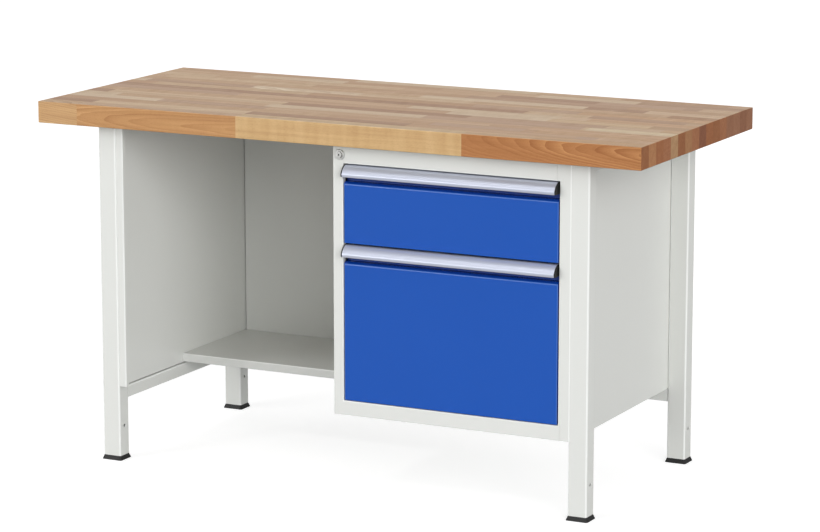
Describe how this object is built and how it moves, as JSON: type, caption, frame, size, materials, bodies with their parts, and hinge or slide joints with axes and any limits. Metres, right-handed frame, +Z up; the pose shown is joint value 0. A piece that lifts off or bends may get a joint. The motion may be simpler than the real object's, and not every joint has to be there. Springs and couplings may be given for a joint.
{
  "type": "workshop bench with drawer cabinet",
  "caption": "Workbench with a solid wood top on a steel tube frame, an open bay with a half-depth shelf beside a cabinet of sliding drawers with grip strips and a central lock.",
  "frame": {"origin": "on the floor under the middle of the worktop", "axes": "+X along the bench to its right end as seen from the front, +Y from front to back, +Z up"},
  "size_m": [1.5, 0.65, 0.84],
  "materials": {
    "beech": "oiled, glued staves",
    "grey_paint": "light grey powder coat",
    "blue_paint": "blue powder coat",
    "grip_aluminium": "satin anodised extrusion",
    "black_plastic": "moulded, matte",
    "zinc_steel": "zinc plated",
    "lock_nickel": "satin nickel"
  },
  "bodies": {
    "bench": {"worktop": "beech", "worktop_screw_front_left": "zinc_steel", "worktop_screw_rear_left": "zinc_steel", "worktop_screw_front_right": "zinc_steel", "worktop_screw_rear_right": "zinc_steel", "leg_front_left": "grey_paint", "leg_front_right": "grey_paint", "leg_rear_left": "grey_paint", "leg_rear_right": "grey_paint", "foot_front_left": "black_plastic", "foot_front_right": "black_plastic", "foot_rear_left": "black_plastic", "foot_rear_right": "black_plastic", "rail_lower_left": "grey_paint", "rail_lower_rear": "grey_paint", "rail_top_left": "grey_paint", "rail_top_right": "grey_paint", "side_panel_left": "grey_paint", "back_panel": "grey_paint", "shelf": "grey_paint", "cabinet_left_side": "grey_paint", "cabinet_right_side": "grey_paint", "cabinet_top_rail": "grey_paint", "cabinet_floor": "grey_paint", "upright_front_left": "grey_paint", "upright_rear_left": "grey_paint", "upright_front_right": "grey_paint", "upright_rear_right": "grey_paint", "upper_slide_left_cabinet": "zinc_steel", "upper_slide_right_cabinet": "zinc_steel", "lower_slide_left_cabinet": "zinc_steel", "lower_slide_right_cabinet": "zinc_steel", "lock_housing": "lock_nickel", "lock_bar_guide_lower": "black_plastic", "lock_bar_guide_upper": "black_plastic"},
    "upper_drawer": {"upper_drawer_front": "blue_paint", "upper_drawer_box": "grey_paint", "upper_drawer_grip": "grip_aluminium", "upper_grip_cap_left": "black_plastic", "upper_grip_cap_right": "black_plastic", "upper_drawer_catch": "zinc_steel", "upper_slide_left_drawer": "zinc_steel", "upper_slide_right_drawer": "zinc_steel"},
    "upper_slide_middles": {"upper_slide_left_middle": "zinc_steel", "upper_slide_right_middle": "zinc_steel"},
    "lower_drawer": {"lower_drawer_front": "blue_paint", "lower_drawer_box": "grey_paint", "lower_drawer_grip": "grip_aluminium", "lower_grip_cap_left": "black_plastic", "lower_grip_cap_right": "black_plastic", "lower_drawer_catch": "zinc_steel", "lower_slide_left_drawer": "zinc_steel", "lower_slide_right_drawer": "zinc_steel"},
    "lower_slide_middles": {"lower_slide_left_middle": "zinc_steel", "lower_slide_right_middle": "zinc_steel"},
    "lock_core": {"lock_barrel": "lock_nickel", "lock_cam": "zinc_steel"},
    "lock_bar": {"lock_bar": "zinc_steel"}
  },
  "joints": [
    {"name": "upper_drawer_slide", "type": "slide", "parent": "bench", "child": "upper_drawer", "axis": [0, -1, 0], "range_m": [0, 0.45]},
    {"name": "upper_middle_slide", "type": "slide", "parent": "bench", "child": "upper_slide_middles", "axis": [0, -1, 0], "range_m": [0, 0.225]},
    {"name": "lower_drawer_slide", "type": "slide", "parent": "bench", "child": "lower_drawer", "axis": [0, -1, 0], "range_m": [0, 0.45]},
    {"name": "lower_middle_slide", "type": "slide", "parent": "bench", "child": "lower_slide_middles", "axis": [0, -1, 0], "range_m": [0, 0.225]},
    {"name": "lock_turn", "type": "hinge", "parent": "bench", "child": "lock_core", "pos_m": [0.0125, -0.283, 0.765], "axis": [0, -1, 0], "range_deg": [0, 90]},
    {"name": "lock_bar_lift", "type": "slide", "parent": "bench", "child": "lock_bar", "axis": [0, 0, 1], "range_m": [0, 0.01414]}
  ],
  "couplings": [
    {"joint": "upper_middle_slide", "follows": "upper_drawer_slide", "ratio": 0.5},
    {"joint": "lower_middle_slide", "follows": "lower_drawer_slide", "ratio": 0.5},
    {"joint": "lock_turn", "follows": "lock_bar_lift", "rad_per_m": 111.08}
  ]
}
